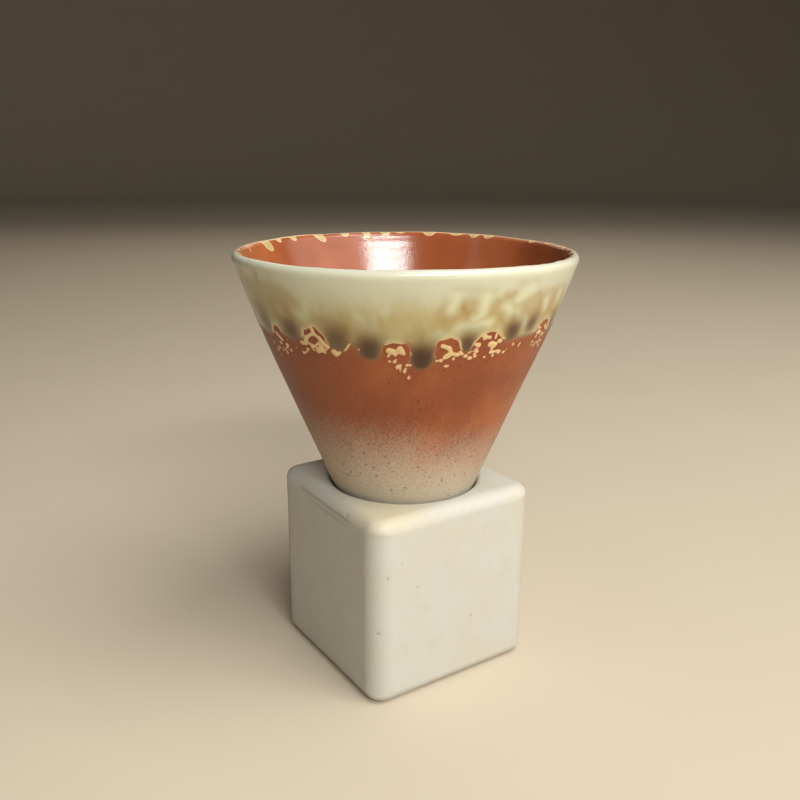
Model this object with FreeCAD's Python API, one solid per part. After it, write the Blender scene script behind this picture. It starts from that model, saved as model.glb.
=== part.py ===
"""Conical stoneware cup standing in a cube-shaped stoneware stand.

Two fired pieces, in millimetres, +Z up. The origin is the centre of the stand's underside, and
the cup's axis is the Z axis. The cup stands on its foot, on the floor of the stand's well, and
lifts straight out.
"""
import FreeCAD, Part
import math
import os

# ---- Stand: a cube with soft edges ----
STAND_SIDE = 55.0
UPRIGHT_EDGE_RADIUS = 6.0
TOP_EDGE_RADIUS = 4.0
BOTTOM_EDGE_RADIUS = 3.5

# ---- Well: the cup-shaped hollow in the stand's top ----
WELL_DEPTH = 24.0
WELL_GAP = 0.4            # between the cup's wall and the well's wall, square to both
WELL_LIP_RADIUS = 1.8
WELL_CORNER_RADIUS = 1.5

# ---- Underside pocket: keeps the clay of the stand to an even thickness ----
STAND_WALL = 8.0
WELL_FLOOR_THICKNESS = 7.0
POCKET_TAPER = 3.0        # degrees, each side leans in towards the pocket's roof
POCKET_EDGE_RADIUS = 4.0

# ---- Cup ----
OVERALL_HEIGHT = 122.0    # from the table to the crest of the lip
RIM_DIAMETER = 95.0
CUP_WALL = 2.8
CONE_HALF_ANGLE = 22.4    # degrees from upright, the straight lower wall
RIM_HALF_ANGLE = 18.6     # degrees from upright, where the wall meets the lip
BOW_HEIGHT = 29.0         # the stretch below the lip in which the wall bows to the rim's angle
FOOT_CORNER_RADIUS = 2.5
FOOT_RECESS_RADIUS = 7.5
FOOT_RECESS_DEPTH = 0.8
INNER_FLOOR_THICKNESS = 5.0
INNER_CORNER_RADIUS = 7.0

# ---- Heights that follow ----
WELL_FLOOR = STAND_SIDE - WELL_DEPTH
CUP_FLOOR = WELL_FLOOR + INNER_FLOOR_THICKNESS

ORIGIN = FreeCAD.Vector(0, 0, 0)
UP = FreeCAD.Vector(0, 0, 1)
SAME_POINT = 1e-6         # points closer than this are one point
CUT_OVERSHOOT = 1.0       # how far a cutting tool stands out past the face that it opens


def at(radius, height):
    """A point of a turned outline, in the plane y = 0."""
    return FreeCAD.Vector(radius, 0, height)


def wall_direction(half_angle):
    """Unit vector up a wall that leans outwards by half_angle degrees from upright."""
    lean = math.radians(half_angle)
    return at(math.sin(lean), math.cos(lean))


def wall_normal(half_angle):
    """Unit vector out of a wall that leans outwards by half_angle degrees from upright."""
    lean = math.radians(half_angle)
    return at(math.cos(lean), -math.sin(lean))


def rounded_corner(before, corner, after, radius):
    """Start, middle and end of the arc that rounds the corner between two straight lines."""
    to_before = (before - corner).normalize()
    to_after = (after - corner).normalize()
    half_opening = to_before.getAngle(to_after) / 2
    reach = radius / math.tan(half_opening)
    inwards = (to_before + to_after).normalize()
    depth = radius / math.sin(half_opening) - radius
    return [corner + to_before * reach, corner + inwards * depth, corner + to_after * reach]


def turned_solid(steps):
    """Solid of revolution about Z. A step of one point is a sharp corner, one of three an arc."""
    edges = []
    for step, following in zip(steps, steps[1:] + steps[:1]):
        if len(step) == 3:
            edges.append(Part.Arc(*step).toShape())
        if step[-1].distanceToPoint(following[0]) > SAME_POINT:
            edges.append(Part.LineSegment(step[-1], following[0]).toShape())
    return Part.Face(Part.Wire(edges)).revolve(ORIGIN, UP, 360)


class CupWall:
    """The cup's wall: a straight cone that bows up to the lip, at one thickness throughout.

    Every outline point is found from the wall's middle line: an offset of half the thickness
    gives the outer face, and minus half the thickness gives the inner face.
    """

    def __init__(self):
        cone_sine = math.sin(math.radians(CONE_HALF_ANGLE))
        rim_sine = math.sin(math.radians(RIM_HALF_ANGLE))
        self.bow_radius = BOW_HEIGHT / (cone_sine - rim_sine)
        self.lip_radius = CUP_WALL / 2
        self.lip_centre = at(RIM_DIAMETER / 2 - self.lip_radius, OVERALL_HEIGHT - self.lip_radius)
        self.bow_centre = self.lip_centre - wall_normal(RIM_HALF_ANGLE) * self.bow_radius

    def bow_point(self, half_angle, offset):
        """Point of the bow where the wall leans by half_angle degrees."""
        return self.bow_centre + wall_normal(half_angle) * (self.bow_radius + offset)

    def bow_arc(self, offset):
        """The bow, from the top of the cone up to the lip."""
        middle_angle = (CONE_HALF_ANGLE + RIM_HALF_ANGLE) / 2
        angles = (CONE_HALF_ANGLE, middle_angle, RIM_HALF_ANGLE)
        return [self.bow_point(angle, offset) for angle in angles]

    def cone_point(self, height, offset):
        """Point of the straight cone, or of its line drawn on, at a height above the table."""
        cone_top = self.bow_point(CONE_HALF_ANGLE, offset)
        climb = wall_direction(CONE_HALF_ANGLE)
        return cone_top + climb * ((height - cone_top.z) / climb.z)

    def lip_point(self, turn):
        """Point of the round lip, turned by that many degrees from the outer face."""
        out = wall_normal(RIM_HALF_ANGLE) * math.cos(math.radians(turn))
        up = wall_direction(RIM_HALF_ANGLE) * math.sin(math.radians(turn))
        return self.lip_centre + (out + up) * self.lip_radius

    def lip_arcs(self):
        """The half-round lip as two arcs that meet at its crest, outer face first."""
        quarters = ((0, 45, 90), (90, 135, 180))
        return [[self.lip_point(turn) for turn in quarter] for quarter in quarters]


def make_cup(wall):
    """The cup: foot with a shallow recess, conical wall, round lip and a dished floor."""
    outer_bow = wall.bow_arc(CUP_WALL / 2)
    inner_bow = wall.bow_arc(-CUP_WALL / 2)
    foot_edge = wall.cone_point(WELL_FLOOR, CUP_WALL / 2)
    floor_edge = wall.cone_point(CUP_FLOOR, -CUP_WALL / 2)
    recess_roof = WELL_FLOOR + FOOT_RECESS_DEPTH
    steps = [
        [at(0, recess_roof)],
        [at(FOOT_RECESS_RADIUS - FOOT_RECESS_DEPTH, recess_roof)],
        [at(FOOT_RECESS_RADIUS, WELL_FLOOR)],
        rounded_corner(at(0, WELL_FLOOR), foot_edge, outer_bow[0], FOOT_CORNER_RADIUS),
        outer_bow,
        *wall.lip_arcs(),
        inner_bow[::-1],
        rounded_corner(inner_bow[0], floor_edge, at(0, CUP_FLOOR), INNER_CORNER_RADIUS),
        [at(0, CUP_FLOOR)],
    ]
    return turned_solid(steps)


def make_well(wall):
    """Cutting tool for the well: the cup's cone, larger by the gap, with a rounded lip."""
    offset = CUP_WALL / 2 + WELL_GAP
    floor_centre = at(0, WELL_FLOOR)
    floor_edge = wall.cone_point(WELL_FLOOR, offset)
    mouth_edge = wall.cone_point(STAND_SIDE, offset)
    stand_edge = at(STAND_SIDE / 2, STAND_SIDE)
    lip = rounded_corner(floor_edge, mouth_edge, stand_edge, WELL_LIP_RADIUS)
    steps = [
        [floor_centre],
        rounded_corner(floor_centre, floor_edge, mouth_edge, WELL_CORNER_RADIUS),
        lip,
        [at(lip[-1].x, STAND_SIDE + CUT_OVERSHOOT)],
        [at(0, STAND_SIDE + CUT_OVERSHOOT)],
    ]
    return turned_solid(steps)


def edges_at(shape, height):
    """Edges of a shape that lie wholly at one height."""
    return [edge for edge in shape.Edges
            if all(abs(vertex.Z - height) < SAME_POINT for vertex in edge.Vertexes)]


def make_block():
    """The cube with its soft edges, before the well and the pocket are cut."""
    corner = FreeCAD.Vector(-STAND_SIDE / 2, -STAND_SIDE / 2, 0)
    block = Part.makeBox(STAND_SIDE, STAND_SIDE, STAND_SIDE, corner)
    uprights = [edge for edge in block.Edges if edge.Vertexes[0].Z != edge.Vertexes[1].Z]
    block = block.makeFillet(UPRIGHT_EDGE_RADIUS, uprights)
    block = block.makeFillet(TOP_EDGE_RADIUS, edges_at(block, STAND_SIDE))
    return block.makeFillet(BOTTOM_EDGE_RADIUS, edges_at(block, 0))


def square_outline(half_side, height):
    """Closed square wire, centred on the axis, at one height."""
    corners = [(-1, -1), (1, -1), (1, 1), (-1, 1), (-1, -1)]
    points = [FreeCAD.Vector(x * half_side, y * half_side, height) for x, y in corners]
    return Part.makePolygon(points)


def make_pocket():
    """Cutting tool for the pocket in the underside: square, tapering, with rounded edges."""
    roof = WELL_FLOOR - WELL_FLOOR_THICKNESS
    mouth_half_side = STAND_SIDE / 2 - STAND_WALL
    lean = math.tan(math.radians(POCKET_TAPER))
    outlines = [square_outline(mouth_half_side - lean * height, height)
                for height in (-CUT_OVERSHOOT, roof)]
    pocket = Part.makeLoft(outlines, True, True)
    mouth_edges = edges_at(pocket, -CUT_OVERSHOOT)
    inner_edges = [edge for edge in pocket.Edges
                   if not any(edge.isSame(other) for other in mouth_edges)]
    return pocket.makeFillet(POCKET_EDGE_RADIUS, inner_edges)


def make_stand(wall):
    """The stand: a soft-edged cube with the cup's well above and a pocket below."""
    return make_block().cut(make_well(wall)).cut(make_pocket())


def write_piece(name, shape):
    """Write one piece's single solid to its STEP file and print what it measures."""
    if len(shape.Solids) != 1 or not shape.isValid():
        raise ValueError(f"{name} is not one valid solid")
    solid = shape.Solids[0]
    solid.exportStep(f"parts/{name}.step")
    box = solid.optimalBoundingBox()
    size = f"{box.XLength:.2f} x {box.YLength:.2f} x {box.ZLength:.2f} mm"
    print(f"{name}: {size} from z = {box.ZMin:.2f}, {solid.Volume / 1000:.1f} cm3")


def main():
    """Build both pieces and write one STEP file for each."""
    os.makedirs("parts", exist_ok=True)
    wall = CupWall()
    write_piece("cube_stand", make_stand(wall))
    write_piece("cone_cup", make_cup(wall))


main()
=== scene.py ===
"""Conical stoneware cup standing in a cube-shaped stoneware stand: clay, glazes, light and camera.

Shapes are worked out in millimetres and put into their meshes in metres. The origin is the centre
of the stand's underside, +Z is up, and the cup's axis is the Z axis. An angle round the cup is a
turn in degrees from its front, anticlockwise as seen from above.
"""
import logging
import math
from dataclasses import dataclass, field
from enum import Enum

import bpy
import numpy as np
from mathutils import Matrix


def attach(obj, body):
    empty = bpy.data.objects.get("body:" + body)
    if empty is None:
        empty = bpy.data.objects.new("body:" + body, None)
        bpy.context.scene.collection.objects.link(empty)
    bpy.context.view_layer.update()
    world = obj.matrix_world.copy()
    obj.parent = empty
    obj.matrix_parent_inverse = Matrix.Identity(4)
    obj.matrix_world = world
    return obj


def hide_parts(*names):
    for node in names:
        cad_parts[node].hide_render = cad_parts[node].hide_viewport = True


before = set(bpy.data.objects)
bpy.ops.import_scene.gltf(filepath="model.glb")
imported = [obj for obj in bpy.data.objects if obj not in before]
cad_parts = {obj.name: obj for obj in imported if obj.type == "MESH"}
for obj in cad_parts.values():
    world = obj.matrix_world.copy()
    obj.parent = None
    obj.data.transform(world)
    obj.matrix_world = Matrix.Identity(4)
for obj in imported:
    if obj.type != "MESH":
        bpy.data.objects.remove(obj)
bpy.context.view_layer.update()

MM = 0.001
FRONT = 236.0             # degrees round from +X of the cup's front
FAR_IN = 5.0              # millimetres: far enough inside a glaze's edge, or outside it if negative

Spacings = tuple[tuple[float, float], ...]

log = logging.getLogger("cup_and_stand")


class Body(Enum):
    """The two bodies of the part."""

    STAND = "stand"
    CUP = "cup"


class Light(Enum):
    """What a lamp is for, which is also its name."""

    WINDOW = "window_light"
    WALL = "wall_glow"
    CEILING = "ceiling_light"
    LAMP = "small_lamp"
    BACK = "back_fill"


# ---------------------------------------------------------------- shared arithmetic

def paint(red: int, green: int, blue: int) -> tuple[float, float, float, float]:
    """Turn a colour as a maker reads it off a tile, 0 to 255 a channel, into linear light.

    Args:
        red: Red, 0 to 255.
        green: Green, 0 to 255.
        blue: Blue, 0 to 255.

    Returns:
        Linear red, green and blue with an alpha of 1.
    """
    channels = []
    for value in (red, green, blue):
        share = value / 255
        channels.append(share / 12.92 if share <= 0.04045 else ((share + 0.055) / 1.055) ** 2.4)
    return (*channels, 1.0)


def smooth_step(low: float, high: float, value: np.ndarray) -> np.ndarray:
    """Go from 0 at low to 1 at high along t * t * (3 - 2t), where t is the clipped share.

    Args:
        low: Value that gives 0.
        high: Value that gives 1.
        value: Values to grade.

    Returns:
        The graded values.
    """
    share = np.clip((value - low) / (high - low), 0.0, 1.0)
    return share * share * (3.0 - 2.0 * share)


def soft_max(first: np.ndarray, second: np.ndarray, blend: float) -> np.ndarray:
    """Greater of two fields, with the crease between them filled by h * h * blend / 4.

    Args:
        first: One field, in millimetres.
        second: The other field, in millimetres.
        blend: Width of the filled crease, in millimetres.

    Returns:
        The joined field.
    """
    overlap = np.clip(1.0 - np.abs(first - second) / blend, 0.0, 1.0)
    return np.maximum(first, second) + overlap * overlap * blend / 4.0


def turn_from(centre: float, turn: np.ndarray) -> np.ndarray:
    """Turn between two directions, in degrees from -180 to 180."""
    return (turn - centre + 180.0) % 360.0 - 180.0


def wave(turn: np.ndarray, count: float, start: float = 0.0) -> np.ndarray:
    """Sine that goes count times round the cup, start degrees into its first wave."""
    return np.sin(np.radians(turn * count + start))


class Grain:
    """Smooth random field over space, the same on each run.

    Random values sit on a cubic lattice that repeats. Between lattice points the value is blended
    along each axis by the share t * t * (3 - 2t), so the field has no creases.
    """

    SIDE = 32

    def __init__(self, seed: int) -> None:
        """Draw the lattice's values, from -1 to 1."""
        self.lattice = np.random.default_rng(seed).uniform(-1.0, 1.0, (self.SIDE,) * 3)

    def layer(self, points: np.ndarray, size: float) -> np.ndarray:
        """Sample one layer of the field.

        Args:
            points: Points in millimetres, with x, y and z along the last axis.
            size: Lattice spacing, in millimetres.

        Returns:
            Values from -1 to 1, one for each point.
        """
        cell = np.floor(points / size)
        share = points / size - cell
        share = share * share * (3.0 - 2.0 * share)
        low = cell.astype(int) % self.SIDE
        total = np.zeros(points.shape[:-1])
        for corner in np.ndindex(2, 2, 2):
            weight = np.prod(np.where(corner, share, 1.0 - share), axis=-1)
            index = (low + corner) % self.SIDE
            total += weight * self.lattice[index[..., 0], index[..., 1], index[..., 2]]
        return total

    def at(self, points: np.ndarray, size: float, layers: int = 2) -> np.ndarray:
        """Add layers of the field, each half as large and half as strong as the one before.

        Args:
            points: Points in millimetres, with x, y and z along the last axis.
            size: Lattice spacing of the coarsest layer, in millimetres.
            layers: How many layers are added.

        Returns:
            Values from about -1 to 1, one for each point.
        """
        total = np.zeros(points.shape[:-1])
        for level in range(layers):
            shift = 7.31 * level
            total += self.layer(points + shift, size / 2 ** level) / 2 ** level
        return total / (2.0 - 0.5 ** (layers - 1))


class Outline:
    """Half-section of a turned or squared shape, as close points in order, in millimetres.

    Straight runs join one stretch to the next. Each point is its distance from the axis and its
    height.
    """

    STEP = 0.05

    def __init__(self) -> None:
        """Start with no points."""
        self.pieces: list[np.ndarray] = []

    def run(self, *points: tuple[float, float]) -> None:
        """Add straight runs.

        Args:
            points: Ends of the runs, in order. The first run starts at the last point added.
        """
        for point in points:
            end = np.array([point], float)
            if self.pieces:
                start = self.pieces[-1][-1]
                count = max(int(np.hypot(*(end[0] - start)) / self.STEP), 1)
                share = np.linspace(0.0, 1.0, count + 1)[1:, None]
                self.pieces.append(start + (end[0] - start) * share)
            else:
                self.pieces.append(end)

    def arc(self, centre: tuple[float, float], radius: float, start: float, end: float) -> None:
        """Add an arc, centre + radius * (cos a, sin a), and a straight run up to it.

        Args:
            centre: Centre of the arc.
            radius: Its radius.
            start: Angle of its first point, in degrees from straight outwards.
            end: Angle of its last point, in degrees.
        """
        count = max(int(abs(math.radians(end - start)) * radius / self.STEP), 2)
        angle = np.radians(np.linspace(start, end, count + 1))
        points = np.array(centre) + radius * np.stack([np.cos(angle), np.sin(angle)], axis=-1)
        if self.pieces:
            self.run(tuple(points[0]))
            points = points[1:]
        self.pieces.append(points)

    def points(self) -> np.ndarray:
        """Every point of the outline, in order."""
        return np.concatenate(self.pieces)


def rounded(before: np.ndarray, corner: np.ndarray, after: np.ndarray,
            radius: float) -> tuple[tuple[float, float], float, float, float]:
    """Arc that rounds the corner between two straight lines and touches both.

    Args:
        before: A point of the line that comes in.
        corner: Where the lines meet.
        after: A point of the line that goes out.
        radius: Radius of the arc.

    Returns:
        Its centre, radius, first angle and last angle, as Outline.arc takes them.
    """
    back = (before - corner) / np.linalg.norm(before - corner)
    on = (after - corner) / np.linalg.norm(after - corner)
    half_opening = math.acos(float(np.clip(back @ on, -1.0, 1.0))) / 2
    inwards = (back + on) / np.linalg.norm(back + on)
    centre = corner + inwards * radius / math.sin(half_opening)
    ends = [corner + way * radius / math.tan(half_opening) - centre for way in (back, on)]
    first, last = (math.degrees(math.atan2(end[1], end[0])) for end in ends)
    sweep = (last - first + 180.0) % 360.0 - 180.0
    return (float(centre[0]), float(centre[1])), radius, first, first + sweep


def length_along(points: np.ndarray) -> np.ndarray:
    """Length of an outline up to each of its points."""
    return np.concatenate([[0.0], np.cumsum(np.hypot(*np.diff(points, axis=0).T))])


def spaced_rings(points: np.ndarray, along: np.ndarray, wishes: Spacings, extra: np.ndarray) -> np.ndarray:
    """Pick rings along an outline so that they lie a wished spacing apart.

    The count of rings up to a point is the sum of step length over spacing, scaled to end on a
    whole number, and each ring lies where that count is whole.

    Args:
        points: Close points of the outline.
        along: Where each point is on the scale that the wishes use, in millimetres.
        wishes: Pairs of a place on that scale and the spacing wished there, in millimetres.
        extra: Further columns to carry along, one row for each point.

    Returns:
        One row for each ring: distance from the axis, height, then the extra columns.
    """
    steps = np.hypot(*np.diff(points, axis=0).T)
    spacing = np.interp(along, *zip(*wishes))
    middle = (spacing[1:] + spacing[:-1]) / 2
    count = np.concatenate([[0.0], np.cumsum(steps / middle)])
    rings = np.linspace(0.0, count[-1], int(round(count[-1])) + 1)
    columns = np.column_stack([points, extra])
    return np.column_stack([np.interp(rings, count, column) for column in columns.T])


def grid_normals(grid: np.ndarray, outward: float) -> np.ndarray:
    """Unit normals of a grid that closes on itself along its second axis.

    Each is the cross product of the differences along the rows and along the columns.

    Args:
        grid: Points by ring and column.
        outward: 1 or -1, the sign that makes the normals point out of the clay.

    Returns:
        Normals by ring and column.
    """
    along = np.gradient(grid, axis=0)
    around = np.roll(grid, -1, axis=1) - np.roll(grid, 1, axis=1)
    cross = np.cross(around, along) * outward
    return cross / np.maximum(np.linalg.norm(cross, axis=-1, keepdims=True), 1e-9)


def closed_skin(name: str, grid: np.ndarray, ends: tuple[float, float],
                outward: float, fields: dict[str, np.ndarray]) -> bpy.types.Object:
    """Make a smooth closed mesh from rings of points, with a fan to a pole at each end.

    Args:
        name: Name of the piece.
        grid: Points by ring and column, in millimetres.
        ends: Heights on the axis of the points that close the first and the last ring.
        outward: 1 where the rings climb an outer face anticlockwise, -1 where they go down it.
        fields: Named values by ring and column, which become attributes of the mesh.

    Returns:
        The new object, linked to the scene, at the origin.
    """
    rings, columns = grid.shape[:2]
    index = np.arange(rings * columns).reshape(rings, columns)
    right = np.roll(index, -1, axis=1)
    quads = np.stack([index[:-1], right[:-1], right[1:], index[1:]], axis=-1).reshape(-1, 4)
    first, last = rings * columns, rings * columns + 1
    start_fan = np.stack([np.full(columns, first), right[0], index[0]], axis=-1)
    end_fan = np.stack([np.full(columns, last), index[-1], right[-1]], axis=-1)
    fans = np.concatenate([start_fan, end_fan])
    if outward < 0:
        quads = quads[:, ::-1]
        fans = fans[:, ::-1]
    poles = [[0.0, 0.0, height] for height in ends]
    points = np.concatenate([grid.reshape(-1, 3), poles]) * MM
    corners = np.concatenate([quads.ravel(), fans.ravel()])
    sizes = np.concatenate([np.full(len(quads), 4), np.full(len(fans), 3)])
    starts = np.concatenate([[0], np.cumsum(sizes)[:-1]])
    mesh = bpy.data.meshes.new(name)
    mesh.vertices.add(len(points))
    mesh.vertices.foreach_set("co", points.ravel())
    mesh.loops.add(len(corners))
    mesh.loops.foreach_set("vertex_index", corners.astype(np.int32))
    mesh.polygons.add(len(sizes))
    mesh.polygons.foreach_set("loop_start", starts.astype(np.int32))
    mesh.polygons.foreach_set("use_smooth", np.ones(len(sizes), bool))
    mesh.update(calc_edges=True)
    for field_name, values in fields.items():
        attribute = mesh.attributes.new(field_name, "FLOAT", "POINT")
        at_poles = [values[0].mean(), values[-1].mean()]
        attribute.data.foreach_set("value", np.append(values.ravel(), at_poles).astype(np.float32))
    mesh.validate()
    piece = bpy.data.objects.new(name, mesh)
    bpy.context.scene.collection.objects.link(piece)
    return piece


# ---------------------------------------------------------------- materials

Colour = tuple[float, float, float, float]
Socket = bpy.types.NodeSocket


class Finish:
    """A material being put together node by node, round one Principled shader."""

    def __init__(self, name: str) -> None:
        """Start a material with a Principled shader and Object coordinates.

        Args:
            name: Name of the material.
        """
        self.material = bpy.data.materials.new(name)
        self.material.use_nodes = True
        self.tree = self.material.node_tree
        self.shader = self.tree.nodes["Principled BSDF"]
        self.place = self.add("ShaderNodeTexCoord").outputs["Object"]

    def add(self, kind: str, **settings: object) -> bpy.types.Node:
        """Add a node and set its plain settings.

        Args:
            kind: Blender's name for the node type.
            settings: Properties of the node, by name.

        Returns:
            The new node.
        """
        node = self.tree.nodes.new(kind)
        for key, value in settings.items():
            setattr(node, key, value)
        return node

    def feed(self, socket: Socket, value: object) -> None:
        """Link a socket to another socket, or set it to a plain value.

        Args:
            socket: The input.
            value: An output socket, a number or a colour.
        """
        if isinstance(value, bpy.types.NodeSocket):
            self.tree.links.new(value, socket)
        else:
            socket.default_value = value

    def sum(self, operation: str, *values: object, clamp: bool = False) -> Socket:
        """Do arithmetic on numbers or sockets.

        Args:
            operation: Blender's name for the operation, such as ADD or MULTIPLY.
            values: One to three numbers or sockets.
            clamp: Whether the result is kept from 0 to 1.

        Returns:
            The result.
        """
        node = self.add("ShaderNodeMath", operation=operation, use_clamp=clamp)
        for socket, value in zip(node.inputs, values):
            self.feed(socket, value)
        return node.outputs[0]

    def grade(self, value: Socket, low: float, high: float,
              start: float = 0.0, end: float = 1.0) -> Socket:
        """Map a value smoothly from the range low to high onto start to end.

        Args:
            value: The input.
            low: Input that gives start.
            high: Input that gives end.
            start: First result.
            end: Last result.

        Returns:
            The mapped value.
        """
        node = self.add("ShaderNodeMapRange", interpolation_type="SMOOTHSTEP")
        for key, number in (("Value", value), ("From Min", low), ("From Max", high),
                            ("To Min", start), ("To Max", end)):
            self.feed(node.inputs[key], number)
        return node.outputs["Result"]

    def mix(self, share: object, first: object, second: object, mode: str = "MIX") -> Socket:
        """Blend two colours.

        Args:
            share: How much of the second colour, 0 to 1.
            first: A colour or a socket.
            second: A colour or a socket.
            mode: Blender's name for the way they blend.

        Returns:
            The blended colour.
        """
        node = self.add("ShaderNodeMix", data_type="RGBA", blend_type=mode)
        self.feed(node.inputs[0], share)
        self.feed(node.inputs[6], first)
        self.feed(node.inputs[7], second)
        return node.outputs[2]

    def blend(self, share: object, first: object, second: object) -> Socket:
        """Blend two numbers.

        Args:
            share: How much of the second number, 0 to 1.
            first: A number or a socket.
            second: A number or a socket.

        Returns:
            The blended number.
        """
        node = self.add("ShaderNodeMix", data_type="FLOAT")
        self.feed(node.inputs[0], share)
        self.feed(node.inputs[2], first)
        self.feed(node.inputs[3], second)
        return node.outputs[0]

    def field(self, name: str) -> Socket:
        """Read an attribute of the mesh."""
        return self.add("ShaderNodeAttribute", attribute_name=name).outputs["Fac"]

    def cloud(self, size: float, detail: float = 2.0, stretch: float = 1.0,
              warp: float = 0.0) -> Socket:
        """Soft random pattern.

        Args:
            size: Size of its features, in millimetres.
            detail: How many finer layers it has.
            stretch: How many times as tall as wide its features are.
            warp: How far the pattern is twisted out of shape.

        Returns:
            Values about 0.5, mostly from 0.3 to 0.7.
        """
        spread = self.add("ShaderNodeMapping")
        self.feed(spread.inputs["Vector"], self.place)
        spread.inputs["Scale"].default_value = (1.0, 1.0, 1.0 / stretch)
        node = self.add("ShaderNodeTexNoise")
        self.feed(node.inputs["Vector"], spread.outputs["Vector"])
        node.inputs["Scale"].default_value = 1.0 / (size * MM)
        node.inputs["Detail"].default_value = detail
        node.inputs["Distortion"].default_value = warp
        return node.outputs["Fac"]

    def specks(self, spacing: float, size: float, share: float) -> Socket:
        """Round specks scattered at random, each on its own random lattice cell.

        Args:
            spacing: Size of a cell, in millimetres.
            size: Radius of the largest speck, in millimetres.
            share: Share of the cells that have a speck.

        Returns:
            1 in a speck and 0 off it, with a soft edge.
        """
        node = self.add("ShaderNodeTexVoronoi")
        self.feed(node.inputs["Vector"], self.place)
        node.inputs["Scale"].default_value = 1.0 / (spacing * MM)
        chance = self.add("ShaderNodeSeparateColor")
        self.feed(chance.inputs[0], node.outputs["Color"])
        radius = self.grade(chance.outputs[0], 1.0 - share, 1.0, 0.0, size / spacing)
        edge = self.sum("SUBTRACT", radius, node.outputs["Distance"])
        return self.grade(edge, 0.0, 0.25 * size / spacing)

    def relief(self, height: Socket, depth: float, onto: Socket | None = None) -> Socket:
        """Raise or sink the surface in the shading.

        Args:
            height: Height of the surface, 0 to 1.
            depth: What a height of 1 stands for, in millimetres.
            onto: Another relief that this one adds to.

        Returns:
            The normal.
        """
        node = self.add("ShaderNodeBump")
        node.inputs["Distance"].default_value = depth * MM
        self.feed(node.inputs["Height"], height)
        if onto is not None:
            self.feed(node.inputs["Normal"], onto)
        return node.outputs["Normal"]


@dataclass(frozen=True)
class RawClay:
    """Bare speckled stoneware, as it shows below the glaze on the cup."""

    pale: Colour = paint(184, 170, 150)
    warm: Colour = paint(172, 151, 126)
    # Greyer clay down into the stand's well: a grey tint, and partly painted shade.
    grey_and_shade: Colour = paint(166, 162, 142)
    fleck: Colour = paint(128, 90, 62)
    light_fleck: Colour = paint(204, 194, 172)
    rough: float = 0.78


@dataclass(frozen=True)
class RustGlaze:
    """Thin satin iron glaze, sprayed on so that it fades out over the bare clay."""

    body: Colour = paint(152, 81, 34)
    # Darker rust for the drifts, below the cream edge, and as painted shade over the cup's left side.
    deep: Colour = paint(124, 58, 20)
    fleck: Colour = paint(100, 42, 14)
    rough: float = 0.46


@dataclass(frozen=True)
class AshGlaze:
    """Runny cream ash glaze over the rust glaze, round the rim."""

    rim: Colour = paint(186, 184, 165)
    upper: Colour = paint(190, 188, 162)
    cream: Colour = paint(172, 155, 104)
    cloud: Colour = paint(198, 198, 160)
    ochre: Colour = paint(148, 112, 48)
    olive: Colour = paint(98, 58, 10)
    smoke: Colour = paint(62, 36, 20)
    border: Colour = paint(206, 164, 122)
    island: Colour = paint(202, 176, 118)
    rough: float = 0.2


@dataclass(frozen=True)
class LinerGlaze:
    """Glossy red-brown glaze inside the cup."""

    body: Colour = paint(156, 88, 52)
    deep: Colour = paint(138, 73, 41)
    rough: float = 0.19


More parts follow.
